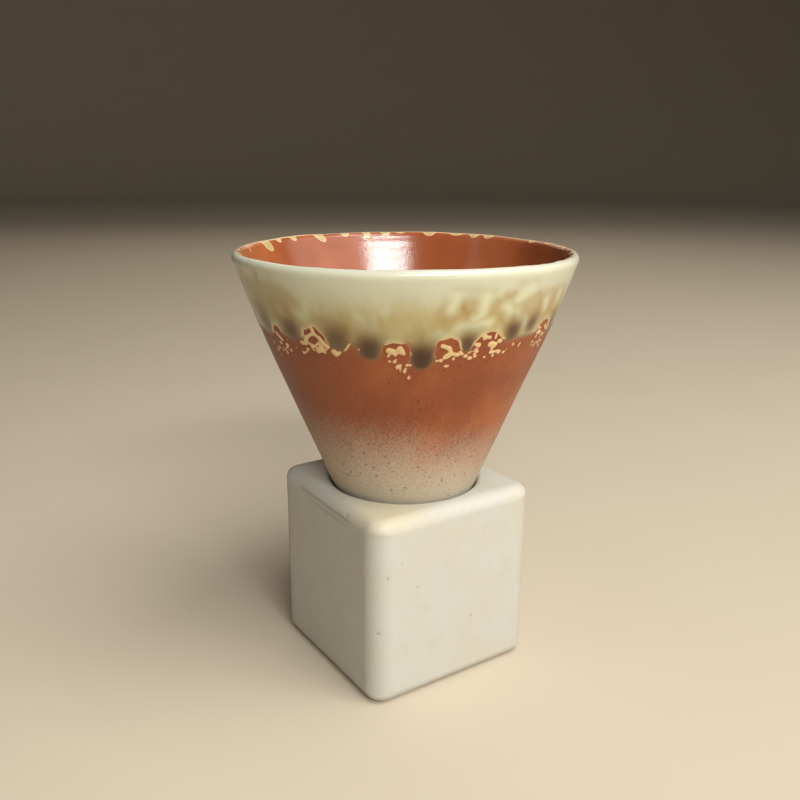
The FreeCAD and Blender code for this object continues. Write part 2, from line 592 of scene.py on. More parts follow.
@dataclass(frozen=True)
class CupFinish:
    """The whole cup's finish: bare clay, rust glaze, ash glaze and liner, each where it belongs.

    The mesh says where: cream, islands, lining and inside are in millimetres into the cream glaze,
    into its loose islands, into its runs inside the rim and from the rim's crest to the inside;
    the other fields are from 0 to 1.
    """

    clay: RawClay = RawClay()
    rust: RustGlaze = RustGlaze()
    ash: AshGlaze = AshGlaze()
    liner: LinerGlaze = LinerGlaze()
    refraction: float = 1.5

    def clay_colour(self, finish: Finish) -> Socket:
        """Bare clay, warmer where spray has dusted it, greyer and a little darker down into the stand's well,
        partly painted shade, with dark and pale flecks.

        Args:
            finish: The material being put together.

        Returns:
            The colour.
        """
        mottling = finish.grade(finish.cloud(0.5, 3.0), 0.35, 0.7)
        mottled = finish.mix(mottling, self.clay.pale, self.clay.warm)
        greyed_and_shaded = finish.mix(finish.field("grey_and_shade_at_stand"), mottled, self.clay.grey_and_shade)
        flecked = finish.mix(finish.specks(1.3, 0.38, 0.6), greyed_and_shaded, self.clay.fleck)
        return finish.mix(finish.specks(1.6, 0.24, 0.3), flecked, self.clay.light_fleck)

    def rust_colour(self, finish: Finish) -> Socket:
        """Rust glaze, darker in soft drifts, darker below the cream edge and with painted shade over the
        cup's left side, and with fine dark red flecks.

        Args:
            finish: The material being put together.

        Returns:
            The colour.
        """
        drift = finish.grade(finish.cloud(14.0, 3.0, 1.6), 0.35, 0.7)
        body = finish.mix(drift, self.rust.body, self.rust.deep)
        # The field deep darkens the rust below the cream edge and, as painted shade, over the cup's left
        # side.
        dark = finish.mix(finish.field("deep"), body, self.rust.deep)
        grain = finish.grade(finish.cloud(0.7, 2.0), 0.55, 0.75, 0.0, 0.5)
        fine = finish.mix(grain, dark, self.rust.deep)
        return finish.mix(finish.specks(1.2, 0.36, 0.55), fine, self.rust.fleck)

    def ash_colour(self, finish: Finish) -> Socket:
        """Ash glaze: pale at the rim, cream, clouded, olive low down and smoky in its drips.

        Args:
            finish: The material being put together.

        Returns:
            The colour.
        """
        veil = finish.grade(finish.cloud(6.0, 3.0, 1.8, 0.3), 0.4, 0.7, 0.0, 0.45)
        cream = finish.mix(veil, self.ash.cream, self.ash.cloud)
        upper = finish.mix(finish.field("upper"), cream, self.ash.upper)
        ochre = finish.mix(finish.field("ochre"), upper, self.ash.ochre)
        cloudy = finish.mix(finish.field("cloud"), ochre, self.ash.cloud)
        olive = finish.mix(finish.field("olive"), cloudy, self.ash.olive)
        rim = finish.mix(finish.field("rim"), olive, self.ash.rim)
        on_rim = finish.sum("MULTIPLY", finish.specks(1.8, 0.34, 0.3), finish.field("rim"))
        spotted = finish.mix(on_rim, rim, self.ash.ochre)
        return finish.mix(finish.field("smoke"), spotted, self.ash.smoke)

    def edged_cream(self, finish: Finish) -> tuple[Socket, Socket]:
        """Cream glaze and its loose islands, each with a pinkish border.

        The edge is crisp in a bay and soft along a drip, where the field "soft" is 1.

        Args:
            finish: The material being put together.

        Returns:
            The colour, and how much of it lies on each point, 0 to 1.
        """
        uneven = finish.sum("SUBTRACT", finish.cloud(1.1, 2.0), 0.5)
        ragged = finish.sum("MULTIPLY_ADD", uneven, 0.5, finish.field("cream"))
        soft = finish.field("soft")
        crisp_edge = finish.grade(ragged, -0.04, 0.1)
        in_glaze = finish.blend(soft, crisp_edge, finish.grade(ragged, -1.3, 0.9))
        past_border = finish.sum("MAXIMUM", finish.grade(ragged, 0.1, 0.42), soft)
        ash = finish.mix(finish.field("lace"), self.ash_colour(finish), self.ash.island)
        main = finish.mix(past_border, self.ash.border, ash)
        into_island = finish.field("islands")
        island = finish.mix(finish.grade(into_island, 0.12, 0.42), self.ash.border, self.ash.island)
        in_island = finish.grade(into_island, -0.04, 0.1)
        return finish.mix(in_island, main, island), finish.sum("MAXIMUM", in_glaze, in_island)

    def inside_colour(self, finish: Finish) -> Socket:
        """Liner glaze, deeper in soft pools, under the cream runs from the lip.

        Args:
            finish: The material being put together.

        Returns:
            The colour.
        """
        pooled = finish.grade(finish.cloud(18.0, 2.0), 0.35, 0.7)
        liner = finish.mix(pooled, self.liner.body, self.liner.deep)
        lining = finish.field("lining")
        run = finish.mix(finish.grade(lining, 0.25, 0.7), self.ash.border, self.ash.cream)
        return finish.mix(finish.grade(lining, -0.04, 0.1), liner, run)

    @staticmethod
    def skin(finish: Finish, glazed: Socket) -> Socket:
        """Fine relief: grit where the clay is bare, over slow waves in the glaze.

        Args:
            finish: The material being put together.
            glazed: How much glaze covers the clay, 0 to 1.

        Returns:
            The normal.
        """
        bare = finish.sum("SUBTRACT", 1.0, glazed, clamp=True)
        grit = finish.sum("MULTIPLY", finish.cloud(0.45, 3.0), finish.sum("MULTIPLY_ADD", bare, 0.8, 0.2))
        return finish.relief(finish.cloud(2.6, 2.0), 0.035, finish.relief(grit, 0.12))

    def material(self) -> bpy.types.Material:
        """Put the finish together.

        Returns:
            The material.
        """
        finish = Finish("cup_glazes")
        grain = finish.sum("SUBTRACT", finish.cloud(0.42, 2.0), 0.5)
        rusty = finish.grade(finish.sum("MULTIPLY_ADD", grain, 0.9, finish.field("fade")), 0.0, 1.0)
        wall = finish.mix(rusty, self.clay_colour(finish), self.rust_colour(finish))
        cream, in_cream = self.edged_cream(finish)
        outside = finish.mix(in_cream, wall, cream)
        within = finish.grade(finish.field("inside"), -0.1, 0.1)
        colour = finish.mix(within, outside, self.inside_colour(finish))
        finish.feed(finish.shader.inputs["Base Color"], colour)
        satin = finish.blend(rusty, self.clay.rough, self.rust.rough)
        outer_rough = finish.blend(in_cream, satin, self.ash.rough)
        rough = finish.blend(within, outer_rough, self.liner.rough)
        finish.feed(finish.shader.inputs["Roughness"], rough)
        glazed = finish.sum("MAXIMUM", rusty, within)
        finish.feed(finish.shader.inputs["Normal"], self.skin(finish, glazed))
        finish.shader.inputs["IOR"].default_value = self.refraction
        return finish.material


@dataclass(frozen=True)
class StandClay:
    """Matte greige stoneware of the stand, with soft mottling, brush marks and pinholes; its pits, pinholes
    and tooling grooves are darkened with painted shade.
    """

    body: Colour = paint(179, 176, 164)
    warm: Colour = paint(179, 174, 158)
    dull: Colour = paint(169, 164, 148)
    stain: Colour = paint(194, 177, 132)
    # Dark colour painted into the pits, pinholes and tooling grooves as shade.
    pit_shade: Colour = paint(96, 86, 72)
    rough: float = 0.6

    def material(self) -> bpy.types.Material:
        """Put the finish together.

        Returns:
            The material.
        """
        finish = Finish("stand_clay")
        mottled = finish.mix(finish.grade(finish.cloud(11.0, 3.0), 0.38, 0.66), self.body, self.warm)
        worn = finish.mix(finish.grade(finish.cloud(4.0, 4.0), 0.5, 0.72, 0.0, 0.3), mottled, self.dull)
        stained = finish.mix(finish.field("stain"), worn, self.stain)
        fine = finish.mix(finish.grade(finish.cloud(0.5, 2.0), 0.5, 0.75, 0.0, 0.25), stained, self.dull)
        # Pits, pinholes and tooling grooves are darkened with painted shade.
        shaded_pinholes = finish.specks(3.4, 0.24, 0.16)
        finish.feed(finish.shader.inputs["Base Color"],
                    finish.mix(finish.sum("MAXIMUM", finish.field("pit"), shaded_pinholes), fine, self.pit_shade))
        finish.feed(finish.shader.inputs["Roughness"],
                    finish.grade(finish.cloud(6.0, 3.0), 0.35, 0.7, self.rough - 0.08, self.rough + 0.1))
        grit = finish.relief(finish.cloud(0.4, 3.0), 0.07)
        sunk = finish.relief(finish.sum("SUBTRACT", 1.0, shaded_pinholes), 0.12, grit)
        finish.feed(finish.shader.inputs["Normal"], sunk)
        return finish.material


@dataclass(frozen=True)
class FloorFinish:
    """Plain pale paper that the object stands on."""

    pale: Colour = paint(188, 175, 153)
    shade: Colour = paint(184, 171, 149)

    def material(self) -> bpy.types.Material:
        """Put the finish together.

        Returns:
            The material.
        """
        finish = Finish("pale_paper")
        finish.feed(finish.shader.inputs["Base Color"],
                    finish.mix(finish.cloud(60.0, 3.0), self.pale, self.shade))
        finish.shader.inputs["Roughness"].default_value = 0.9
        return finish.material


# ---------------------------------------------------------------- the cup

@dataclass(frozen=True)
class Drip:
    """A tongue where the cream glaze has run down and gone smoky."""

    turn: float               # degrees from the cup's front
    tip: float                # height of its lowest point, in millimetres
    half_width: float         # millimetres
    smoke: float              # 0 to 1


@dataclass(frozen=True)
class Bay:
    """A gap between drips where the cream glaze has broken into lace."""

    turn: float
    top: float
    half_width: float


@dataclass(frozen=True)
class Stroke:
    """A stroke of glaze from one place on the wall to another, with round ends."""

    turn: float               # degrees from the cup's front
    height: float             # millimetres
    turn_end: float
    height_end: float
    half_width: float         # millimetres
    strength: float = 1.0


FRONT_DRIPS = (
    Drip(-58.0, 102.8, 2.6, 0.5),
    Drip(-42.0, 102.9, 2.4, 0.65),
    Drip(-23.0, 101.6, 3.0, 0.6),
    Drip(-12.0, 99.8, 2.9, 0.85),
    Drip(5.8, 97.5, 3.0, 1.0),
    Drip(21.0, 101.9, 2.0, 0.75),
    Drip(38.6, 103.9, 2.0, 0.75),
    Drip(47.5, 105.4, 1.7, 0.55),
    Drip(66.0, 102.4, 2.3, 0.7),
)
FRONT_BAYS = (
    Bay(-51.0, 105.4, 1.5),
    Bay(-32.2, 107.0, 3.1),
    Bay(-3.2, 104.3, 2.3),
    Bay(14.6, 105.4, 2.3),
    Bay(29.4, 106.3, 3.9),
    Bay(58.0, 106.8, 3.3),
)
LACE_STROKES = (
    Stroke(-52.5, 103.2, -50.0, 101.8, 0.5),
    Stroke(-31.9, 107.1, -31.8, 105.2, 0.42),
    Stroke(-32.2, 105.4, -35.2, 104.2, 0.36),
    Stroke(-35.4, 104.3, -36.6, 102.3, 0.5),
    Stroke(-31.2, 105.3, -29.0, 103.6, 0.4),
    Stroke(-29.2, 103.5, -27.2, 102.3, 0.55),
    Stroke(-29.5, 104.5, -29.0, 102.6, 0.3),
    Stroke(-38.5, 102.5, -38.2, 102.3, 0.45),
    Stroke(-31.8, 100.9, -29.8, 101.6, 0.62),
    Stroke(-25.2, 100.9, -24.6, 100.5, 0.72),
    Stroke(-18.2, 103.6, -20.8, 101.8, 0.2),
    Stroke(-5.2, 102.5, -3.8, 102.2, 0.72),
    Stroke(-3.5, 102.0, -3.2, 101.3, 0.38),
    Stroke(-5.4, 101.3, -5.7, 101.0, 0.22),
    Stroke(-1.6, 102.9, -1.1, 102.3, 0.75),
    Stroke(-0.7, 102.2, -0.4, 101.7, 0.42),
    Stroke(12.4, 103.6, 14.4, 103.0, 0.45),
    Stroke(14.6, 103.0, 15.6, 101.8, 0.5),
    Stroke(15.4, 101.4, 13.7, 100.6, 0.6),
    Stroke(16.2, 101.2, 18.4, 101.0, 0.45),
    Stroke(24.4, 103.3, 25.8, 103.1, 0.4),
    Stroke(26.2, 106.2, 27.6, 104.9, 0.5),
    Stroke(28.0, 105.0, 29.6, 104.9, 0.35),
    Stroke(31.9, 106.0, 31.6, 104.8, 0.32),
    Stroke(30.4, 103.1, 32.0, 102.8, 0.7),
    Stroke(33.6, 103.8, 34.4, 103.4, 0.5),
    Stroke(31.4, 100.8, 32.6, 100.7, 0.45),
    Stroke(34.8, 100.6, 35.2, 100.5, 0.42),
    Stroke(25.2, 101.6, 25.6, 101.5, 0.35),
    Stroke(53.5, 105.4, 56.0, 104.6, 0.3),
    Stroke(55.0, 103.6, 57.5, 103.2, 0.5),
    Stroke(59.5, 105.0, 62.0, 103.6, 0.35),
    Stroke(60.0, 102.6, 61.5, 102.2, 0.4),
)
PALE_CLOUDS = (
    Stroke(14.8, 115.6, 13.8, 113.0, 1.1),
    Stroke(25.2, 115.6, 24.0, 111.4, 1.0),
    Stroke(23.6, 111.0, 22.0, 110.2, 0.9),
    Stroke(17.6, 108.7, 27.4, 108.9, 1.1),
    Stroke(32.2, 112.6, 34.2, 110.9, 1.2),
    Stroke(36.4, 114.4, 41.0, 116.8, 1.0),
    Stroke(36.8, 111.0, 43.0, 107.6, 1.1, 0.85),
    Stroke(51.2, 112.6, 52.4, 110.8, 1.0, 0.9),
    Stroke(60.4, 113.6, 62.2, 112.0, 1.2, 0.8),
    Stroke(-37.0, 110.6, -34.4, 109.6, 1.3, 0.6),
    Stroke(-44.0, 110.2, -42.0, 109.6, 1.2, 0.4),
    Stroke(-13.0, 109.6, -11.0, 108.0, 1.3, 0.4),
)
OCHRE_STROKES = (
    Stroke(14.0, 111.8, 62.0, 112.0, 3.6, 0.5),
    Stroke(-84.0, 113.0, -42.0, 112.4, 5.0, 0.55),
    Stroke(17.4, 113.2, 19.4, 111.8, 1.2),
    Stroke(29.3, 114.2, 29.8, 109.8, 0.5, 0.9),
    Stroke(30.2, 109.2, 37.0, 107.2, 0.6, 0.9),
    Stroke(31.6, 115.4, 34.4, 115.8, 0.8, 0.85),
    Stroke(45.0, 114.8, 48.4, 111.6, 0.9, 0.85),
    Stroke(11.2, 115.6, 11.6, 110.8, 0.4, 0.4),
    Stroke(14.0, 117.8, 27.0, 117.0, 0.4, 0.4),
    Stroke(36.4, 118.2, 43.0, 118.2, 0.4, 0.4),
    Stroke(55.0, 112.8, 57.4, 109.6, 0.8, 0.7),
    Stroke(60.0, 109.2, 70.0, 107.0, 0.9, 0.9),
    Stroke(-64.0, 118.0, -66.0, 111.0, 1.6, 0.7),
    Stroke(-52.0, 118.4, -53.0, 112.0, 1.3, 0.6),
    Stroke(-44.6, 117.6, -42.0, 114.2, 1.0, 0.5),
    Stroke(-30.0, 109.4, -18.0, 107.4, 0.9, 0.4),
)


@dataclass(frozen=True)
class RimRun:
    """A run of cream glaze that has slid over the lip, down the inside."""

    turn: float               # degrees from the cup's front
    reach: float              # millimetres below the crest, along the wall
    half_width: float         # millimetres
    slant: float              # millimetres sideways for each millimetre down


BACK_RUNS = (
    RimRun(-98.6, 2.9, 0.35, 0.4),
    RimRun(-101.0, 1.5, 0.4, 0.6),
    RimRun(-115.5, 4.1, 1.7, 0.7),
    RimRun(-122.0, 2.0, 0.9, 0.4),
    RimRun(-130.4, 2.2, 1.1, 0.5),
    RimRun(-144.6, 3.2, 1.4, 0.7),
    RimRun(-154.8, 1.9, 1.2, 0.1),
    RimRun(-164.6, 2.9, 1.0, 0.3),
    RimRun(-171.8, 1.8, 1.3, 0.0),
    RimRun(-178.0, 0.9, 1.6, 0.0),
    RimRun(170.0, 2.0, 1.7, 0.0),
    RimRun(158.7, 1.4, 2.4, 0.0),
    RimRun(150.7, 1.9, 1.4, 0.0),
    RimRun(144.7, 1.8, 1.6, -0.4),
    RimRun(122.2, 1.5, 1.3, -0.3),
    RimRun(112.4, 1.0, 1.6, -0.3),
    RimRun(104.3, 1.2, 0.6, -0.8),
    RimRun(99.3, 1.3, 0.5, -0.9),
    RimRun(93.0, 1.2, 0.5, -0.9),
)


CUP_SPACINGS = (              # distance inwards from the crest, and the rings' spacing there
    (-1000.0, 1.3),           # under the foot
    (-95.0, 1.3),
    (-82.0, 3.0),             # plain wall
    (-27.5, 2.0),
    (-25.5, 0.35),            # lace and drips
    (-14.0, 0.35),
    (-12.0, 0.75),            # clouds
    (-2.5, 0.75),
    (-1.5, 0.3),              # lip
    (1.5, 0.3),
    (2.0, 0.35),              # runs inside the lip
    (5.0, 0.35),
    (7.0, 0.9),
    (14.0, 2.6),              # plain wall inside
    (70.0, 3.2),
    (1000.0, 1.6),            # inner floor
)


@dataclass
class ConeCup:
    """The cup: a straight cone that bows up to a round lip, glazed, standing on a small foot."""

    overall_height: float = 122.0
    rim_diameter: float = 95.0
    wall: float = 2.8
    cone_angle: float = 22.4
    rim_angle: float = 18.6
    bow_height: float = 29.0
    well_floor: float = 31.0
    floor_thickness: float = 5.0
    inner_corner: float = 7.0
    foot_corner: float = 2.5
    recess_radius: float = 7.5
    recess_depth: float = 0.8
    stand_top: float = 55.0
    edge_height: float = 104.0       # lower edge of the cream glaze
    dot_radius: float = 41.0         # radius of the wall at the loose dots
    drip_radius: float = 42.0
    edge_radius: float = 42.6
    stroke_radius: float = 43.5
    lip_radius: float = 45.0         # inside the lip
    fade_height: float = 70.5        # middle of the fade from rust glaze to bare clay
    fade_length: float = 25.0
    columns: int = 640
    seed: int = 21
    finish: CupFinish = field(default_factory=CupFinish)

    def bow(self) -> tuple[np.ndarray, float]:
        """Work out the arc that leads from the straight cone to the lip.

        Returns:
            Its centre, and the radius of the wall's middle line.
        """
        radius = self.bow_height / (math.sin(math.radians(self.cone_angle))
                                    - math.sin(math.radians(self.rim_angle)))
        lean = math.radians(self.rim_angle)
        lip = np.array([self.rim_diameter - self.wall, 2 * self.overall_height - self.wall]) / 2
        return lip - radius * np.array([math.cos(lean), -math.sin(lean)]), radius

    def cone_at(self, height: float, offset: float) -> np.ndarray:
        """Point of the straight cone's line.

        Args:
            height: Height above the table.
            offset: Distance out from the wall's middle line.

        Returns:
            Distance from the axis, and the height.
        """
        centre, radius = self.bow()
        lean = math.radians(self.cone_angle)
        top = centre + (radius + offset) * np.array([math.cos(lean), -math.sin(lean)])
        return np.array([top[0] + (height - top[1]) * math.tan(lean), height])

    def outline(self) -> np.ndarray:
        """Half-section from the middle of the foot's recess, up the outside and down the inside.

        Straight runs for the foot, the cone and the floors; arcs for the bow, lip and corners.

        Returns:
            Close points of the outline.
        """
        centre, radius = self.bow()
        half = self.wall / 2
        lean = math.radians(self.rim_angle)
        lip = centre + radius * np.array([math.cos(lean), -math.sin(lean)])
        foot = self.cone_at(self.well_floor, half)
        floor_height = self.well_floor + self.floor_thickness
        floor = self.cone_at(floor_height, -half)
        roof = self.well_floor + self.recess_depth
        line = Outline()
        line.run((0.4, roof), (self.recess_radius - self.recess_depth, roof),
                 (self.recess_radius, self.well_floor))
        line.arc(*rounded(np.array([0.0, self.well_floor]), foot,
                          self.cone_at(floor_height, half), self.foot_corner))
        line.arc(tuple(centre), radius + half, -self.cone_angle, -self.rim_angle)
        line.arc(tuple(lip), half, -self.rim_angle, 180.0 - self.rim_angle)
        line.arc(tuple(centre), radius - half, -self.rim_angle, -self.cone_angle)
        line.arc(*rounded(self.cone_at(floor_height + 9.0, -half), floor,
                          np.array([0.0, floor_height]), self.inner_corner))
        line.run((0.4, floor_height))
        return line.points()

    def rings(self) -> np.ndarray:
        """Rings of the mesh, close together where the glaze is detailed.

        Returns:
            Distance from the axis, height and distance inwards from the crest for each ring.
        """
        points = self.outline()
        along = length_along(points)
        inwards = along - along[np.argmax(points[:, 1])]
        return spaced_rings(points, inwards, CUP_SPACINGS, inwards[:, None])

    def drips(self) -> list[Drip]:
        """List the drips: those at the front, and random ones like them round the back.

        Returns:
            The drips.
        """
        even = np.arange(80.0, 292.0, 13.0)
        random = np.random.default_rng(self.seed)
        turns = even + random.uniform(-3.5, 3.5, even.size)
        tips = random.uniform(98.5, 104.4, even.size)
        widths = random.uniform(1.7, 3.1, even.size)
        smokes = random.uniform(0.45, 0.95, even.size)
        return [*FRONT_DRIPS, *map(Drip, turns, tips, widths, smokes)]

    def bays(self) -> list[Bay]:
        """List the bays of lace: those at the front, and random ones round the back.

        Returns:
            The bays, the front ones first.
        """
        even = np.arange(86.0, 290.0, 26.0)
        random = np.random.default_rng(self.seed + 1)
        turns = even + random.uniform(-3.0, 3.0, even.size)
        tops = random.uniform(104.4, 107.4, even.size)
        widths = random.uniform(1.9, 3.3, even.size)
        return [*FRONT_BAYS, *map(Bay, turns, tops, widths)]

    def runs(self) -> list[RimRun]:
        """List the runs inside the lip: those at the back, and random ones behind the front rim.

        Returns:
            The runs.
        """
        even = np.arange(-88.0, 90.0, 9.0)
        random = np.random.default_rng(self.seed + 2)
        turns = even + random.uniform(-2.5, 2.5, even.size)
        reaches = random.uniform(0.9, 3.2, even.size)
        widths = random.uniform(0.6, 1.6, even.size)
        slants = random.uniform(-0.5, 0.5, even.size)
        return [*BACK_RUNS, *map(RimRun, turns, reaches, widths, slants)]

    def cream(self, turn: np.ndarray, height: np.ndarray, grain: np.ndarray,
              coarse: np.ndarray) -> tuple[np.ndarray, np.ndarray]:
        """How far into the cream glaze each point of the outside lies.

        The band's lower edge is a height that drifts round the cup. A drip adds an upright
        capsule, distance = half width - length(across, height below the capsule's middle), and a
        bay takes one away that opens downwards. Random fields make the edge uneven.

        Args:
            turn: Degrees from the front.
            height: Height, in millimetres.
            grain: Fine random field, -1 to 1.
            coarse: Coarser random field, -1 to 1.

        Returns:
            Millimetres into the cream, and how near a bay it is, 0 to 1.
        """
        size = math.radians(self.edge_radius)
        drift = 0.5 * wave(turn, 3.0, 40.0) + 0.35 * wave(turn, 7.0)
        cream = height - (self.edge_height + drift)
        lace = np.zeros_like(height)
        for drip in self.drips():
            across = turn_from(drip.turn, turn) * size
            below = np.minimum(height - drip.tip - drip.half_width, 0.0)
            cream = soft_max(cream, drip.half_width - np.hypot(across, below), 1.6)
        for bay in self.bays():
            across = turn_from(bay.turn, turn) * size
            above = np.maximum(height - bay.top + bay.half_width, 0.0)
            depth = bay.half_width - np.hypot(across, above) + 0.75 * coarse
            cream = -soft_max(-cream, depth, 0.8)
            within = smooth_step(-1.5, -0.5, depth) * smooth_step(bay.top - 5.4, bay.top - 3.4, height)
            lace = np.maximum(lace, within)
        return cream + 0.2 * grain + 0.25 * coarse * lace, lace

    def spots(self, turn: np.ndarray, height: np.ndarray) -> np.ndarray:
        """Loose dots of cream glaze below its edge, thicker under the bays.

        Each dot is half width - length(across, drop), and the dots are joined by the greater.

        Args:
            turn: Degrees from the front.
            height: Height, in millimetres.

        Returns:
            Millimetres into the nearest dot.
        """
        random = np.random.default_rng(self.seed + 3)
        size = math.radians(self.dot_radius)
        into = np.full(height.shape, -FAR_IN)
        for bay in self.bays():
            for _ in range(13):
                where = bay.turn + random.normal(0.0, 1.0) * bay.half_width * 1.3 / size
                low = bay.top - 4.2 - abs(random.normal(0.0, 2.2))
                radius = random.uniform(0.2, 0.46)
                across = turn_from(where, turn) * size * random.uniform(0.75, 1.2)
                into = np.maximum(into, radius - np.hypot(across, height - low))
        for where in random.uniform(-180.0, 180.0, 60):
            low = random.uniform(96.5, 102.5)
            radius = random.uniform(0.14, 0.4)
            across = turn_from(where, turn) * size
            into = np.maximum(into, radius - np.hypot(across, height - low))
        return into

    def lining(self, turn: np.ndarray, inwards: np.ndarray) -> np.ndarray:
        """How far into the cream runs each point inside the lip lies.

        The cream covers the crest, and each run is a capsule that leans by its slant.

        Args:
            turn: Degrees from the front.
            inwards: Millimetres down the inside from the crest.

        Returns:
            Millimetres into the cream.
        """
        size = math.radians(self.lip_radius)
        lining = 0.25 - inwards + 0.3 * wave(turn, 5.0)
        for run in self.runs():
            across = turn_from(run.turn, turn) * size + run.slant * (inwards - run.reach)
            below = np.maximum(inwards - run.reach + run.half_width, 0.0)
            taper = run.half_width * (1.25 - 0.25 * np.clip(inwards / run.reach, 0.0, 1.0))
            lining = soft_max(lining, taper - np.hypot(across, below), 0.5)
        return lining

    def loose_strokes(self) -> list[Stroke]:
        """List the strands and islands in the bays: placed at the front, random at the back.

        Returns:
            The strokes.
        """
        random = np.random.default_rng(self.seed + 6)
        strokes = list(LACE_STROKES)
        for bay in self.bays()[len(FRONT_BAYS):]:
            for _ in range(5):
                turn = bay.turn + random.uniform(-1.1, 1.1) * bay.half_width
                height = bay.top - random.uniform(0.6, 5.2)
                lean, drop = random.uniform(-2.6, 2.6), random.uniform(0.0, 1.5)
                strokes.append(Stroke(turn, height, turn + lean, height - drop, random.uniform(0.32, 0.68)))
        return strokes

    def into_strokes(self, marks: list[Stroke] | tuple[Stroke, ...], turn: np.ndarray, height: np.ndarray,
                     edge: float = 0.0) -> np.ndarray:
        """How far into a set of strokes each point lies.

        A point's share along a stroke is the projection onto it, clipped from 0 to 1, and it lies
        half width - distance into the stroke. With an edge, that is graded from -edge to edge and
        multiplied by the stroke's strength. The strokes are joined by the greater.

        Args:
            marks: The strokes.
            turn: Degrees from the front.
            height: Height, in millimetres.
            edge: Half the width of the soft edge in millimetres, or 0 for plain distances.

        Returns:
            Millimetres into the nearest stroke, or 0 to 1 with an edge.
        """
        size = math.radians(self.stroke_radius)
        total = np.full(height.shape, 0.0 if edge else -FAR_IN)
        for mark in marks:
            across, rise = turn_from(mark.turn, turn) * size, height - mark.height
            way = np.array([(mark.turn_end - mark.turn) * size, mark.height_end - mark.height])
            share = np.clip((across * way[0] + rise * way[1]) / (way @ way), 0.0, 1.0)
            depth = mark.half_width - np.hypot(across - share * way[0], rise - share * way[1])
            value = mark.strength * smooth_step(-edge, edge, depth) if edge else depth
            total = np.maximum(total, value)
        return total

    def islands(self, grid: np.ndarray, turn: np.ndarray, grain: np.ndarray) -> np.ndarray:
        """How far into the loose strands, islands and dots each point lies.

        Args:
            grid: Points by ring and column.
            turn: Degrees from the front.
            grain: Fine random field, -1 to 1.

        Returns:
            Millimetres into the nearest one.
        """
        height = grid[..., 2]
        wavy_turn = turn + 0.5 * Grain(self.seed + 10).at(grid, 1.7)
        wavy_height = height + 0.3 * Grain(self.seed + 11).at(grid, 1.5)
        islands = self.into_strokes(self.loose_strokes(), wavy_turn, wavy_height)
        return np.maximum(islands, self.spots(turn, height)) + 0.12 + 0.14 * grain

    def clouds(self, grid: np.ndarray, turn: np.ndarray) -> tuple[np.ndarray, np.ndarray]:
        """Where the pale clouds and the ochre between them lie, both pushed about by a random field.

        Args:
            grid: Points by ring and column.
            turn: Degrees from the front.

        Returns:
            Strength of the clouds and of the ochre, 0 to 1.
        """
        drift_turn = turn + 1.2 * Grain(self.seed + 12).at(grid, 5.5, 3)
        drift_height = grid[..., 2] + 0.8 * Grain(self.seed + 13).at(grid, 5.5, 3)
        return (self.into_strokes(PALE_CLOUDS, drift_turn, drift_height, 1.7),
                self.into_strokes(OCHRE_STROKES, drift_turn, drift_height, 1.6))

    def pools(self, turn: np.ndarray, height: np.ndarray,
              broad: np.ndarray) -> tuple[np.ndarray, np.ndarray]:
        """Smoke in the drips' tips and the olive round them, where the glaze has pooled thick.

        With x and y in the drip's own half widths over a reach, the smoke is exp(-|x|^3 - |y|^3)
        and the olive exp(-x^2 - y^2). The drips are joined by the greater.

        Args:
            turn: Degrees from the front.
            height: Height, in millimetres.
            broad: Broad random field, -1 to 1.

        Returns:
            Strength of the smoke and of the olive, 0 to 1.
        """
        smoke = np.zeros_like(height)
        olive = 0.5 * smooth_step(105.8, 103.2, height + broad)
        for drip in self.drips():
            across = turn_from(drip.turn, turn) * math.radians(self.drip_radius) / drip.half_width
            rise = (height - drip.tip) / drip.half_width
            near = np.exp(-(np.abs(across) / 1.1) ** 3 - (np.abs(rise - 0.75) / 1.25) ** 3)
            round_it = np.exp(-(across / 1.9) ** 2 - ((rise - 1.2) / 1.9) ** 2)
            smoke = np.maximum(smoke, drip.smoke * near)
            olive = np.maximum(olive, (0.45 + 0.55 * drip.smoke) * round_it)
        return smoke, olive

    def fields(self, grid: np.ndarray, turn: np.ndarray, inwards: np.ndarray) -> dict[str, np.ndarray]:
        """Work out where each glaze lies.

        Args:
            grid: Points by ring and column, before any relief.
            turn: Degrees from the front.
            inwards: Millimetres from the crest, less than 0 on the outside.

        Returns:
            Named values by ring and column.
        """
        height = grid[..., 2]
        outside = inwards < 0.0
        grain = Grain(self.seed).at(grid, 1.0)
        coarse = Grain(self.seed + 4).at(grid, 1.8)
        broad = Grain(self.seed + 5).at(grid, 9.0)
        cream, lace = self.cream(turn, height, grain, coarse)
        islands = np.minimum(self.islands(grid, turn, grain), 0.45 - cream)
        cream = np.where(outside, cream, FAR_IN)
        cloud, ochre = self.clouds(grid, turn)
        smoke, olive = self.pools(turn, height, broad)
        # Painted shade: the cup's left side, turned away from the lights, is darkened through the field deep.
        left = smooth_step(0.2, -0.45, wave(turn, 1.0) + 0.15 * broad)
        fade_height = self.fade_height + 1.5 * wave(turn, 2.0, 90.0) - 2.7 * wave(turn, 1.0)
        fade = 0.5 + (height - fade_height + 2.5 * broad) / self.fade_length
        return {
            "cream": cream,
            "islands": np.where(outside, islands, -FAR_IN),
            "lace": lace * smooth_step(0.6, 0.2, cream),
            "soft": 1.0 - smooth_step(0.05, 0.4, lace),
            "smoke": np.where(outside, smoke, 0.0),
            "cloud": 0.92 * cloud,
            "ochre": 0.8 * ochre,
            "olive": 0.95 * olive * (1.0 - 0.8 * lace),
            "upper": smooth_step(109.0, 119.5, height + 1.5 * broad),
            "rim": smooth_step(121.1, 121.8, height + 0.4 * coarse),
            # deep: rust darker below the cream edge, and painted shade over the cup's left side.
            "deep": np.maximum(0.6 * smooth_step(92.0, 103.0, height + 2.0 * broad), 0.75 * left),
            "fade": np.clip(fade, 0.0, 1.0),
            # Greyer, slightly darker clay down into the stand's well: a grey tint, and partly painted shade.
            "grey_and_shade_at_stand": smooth_step(62.0, 53.0, height + 1.5 * broad) * 0.7,
            "lining": self.lining(turn, np.maximum(inwards, 0.0)),
            "inside": inwards,
        }

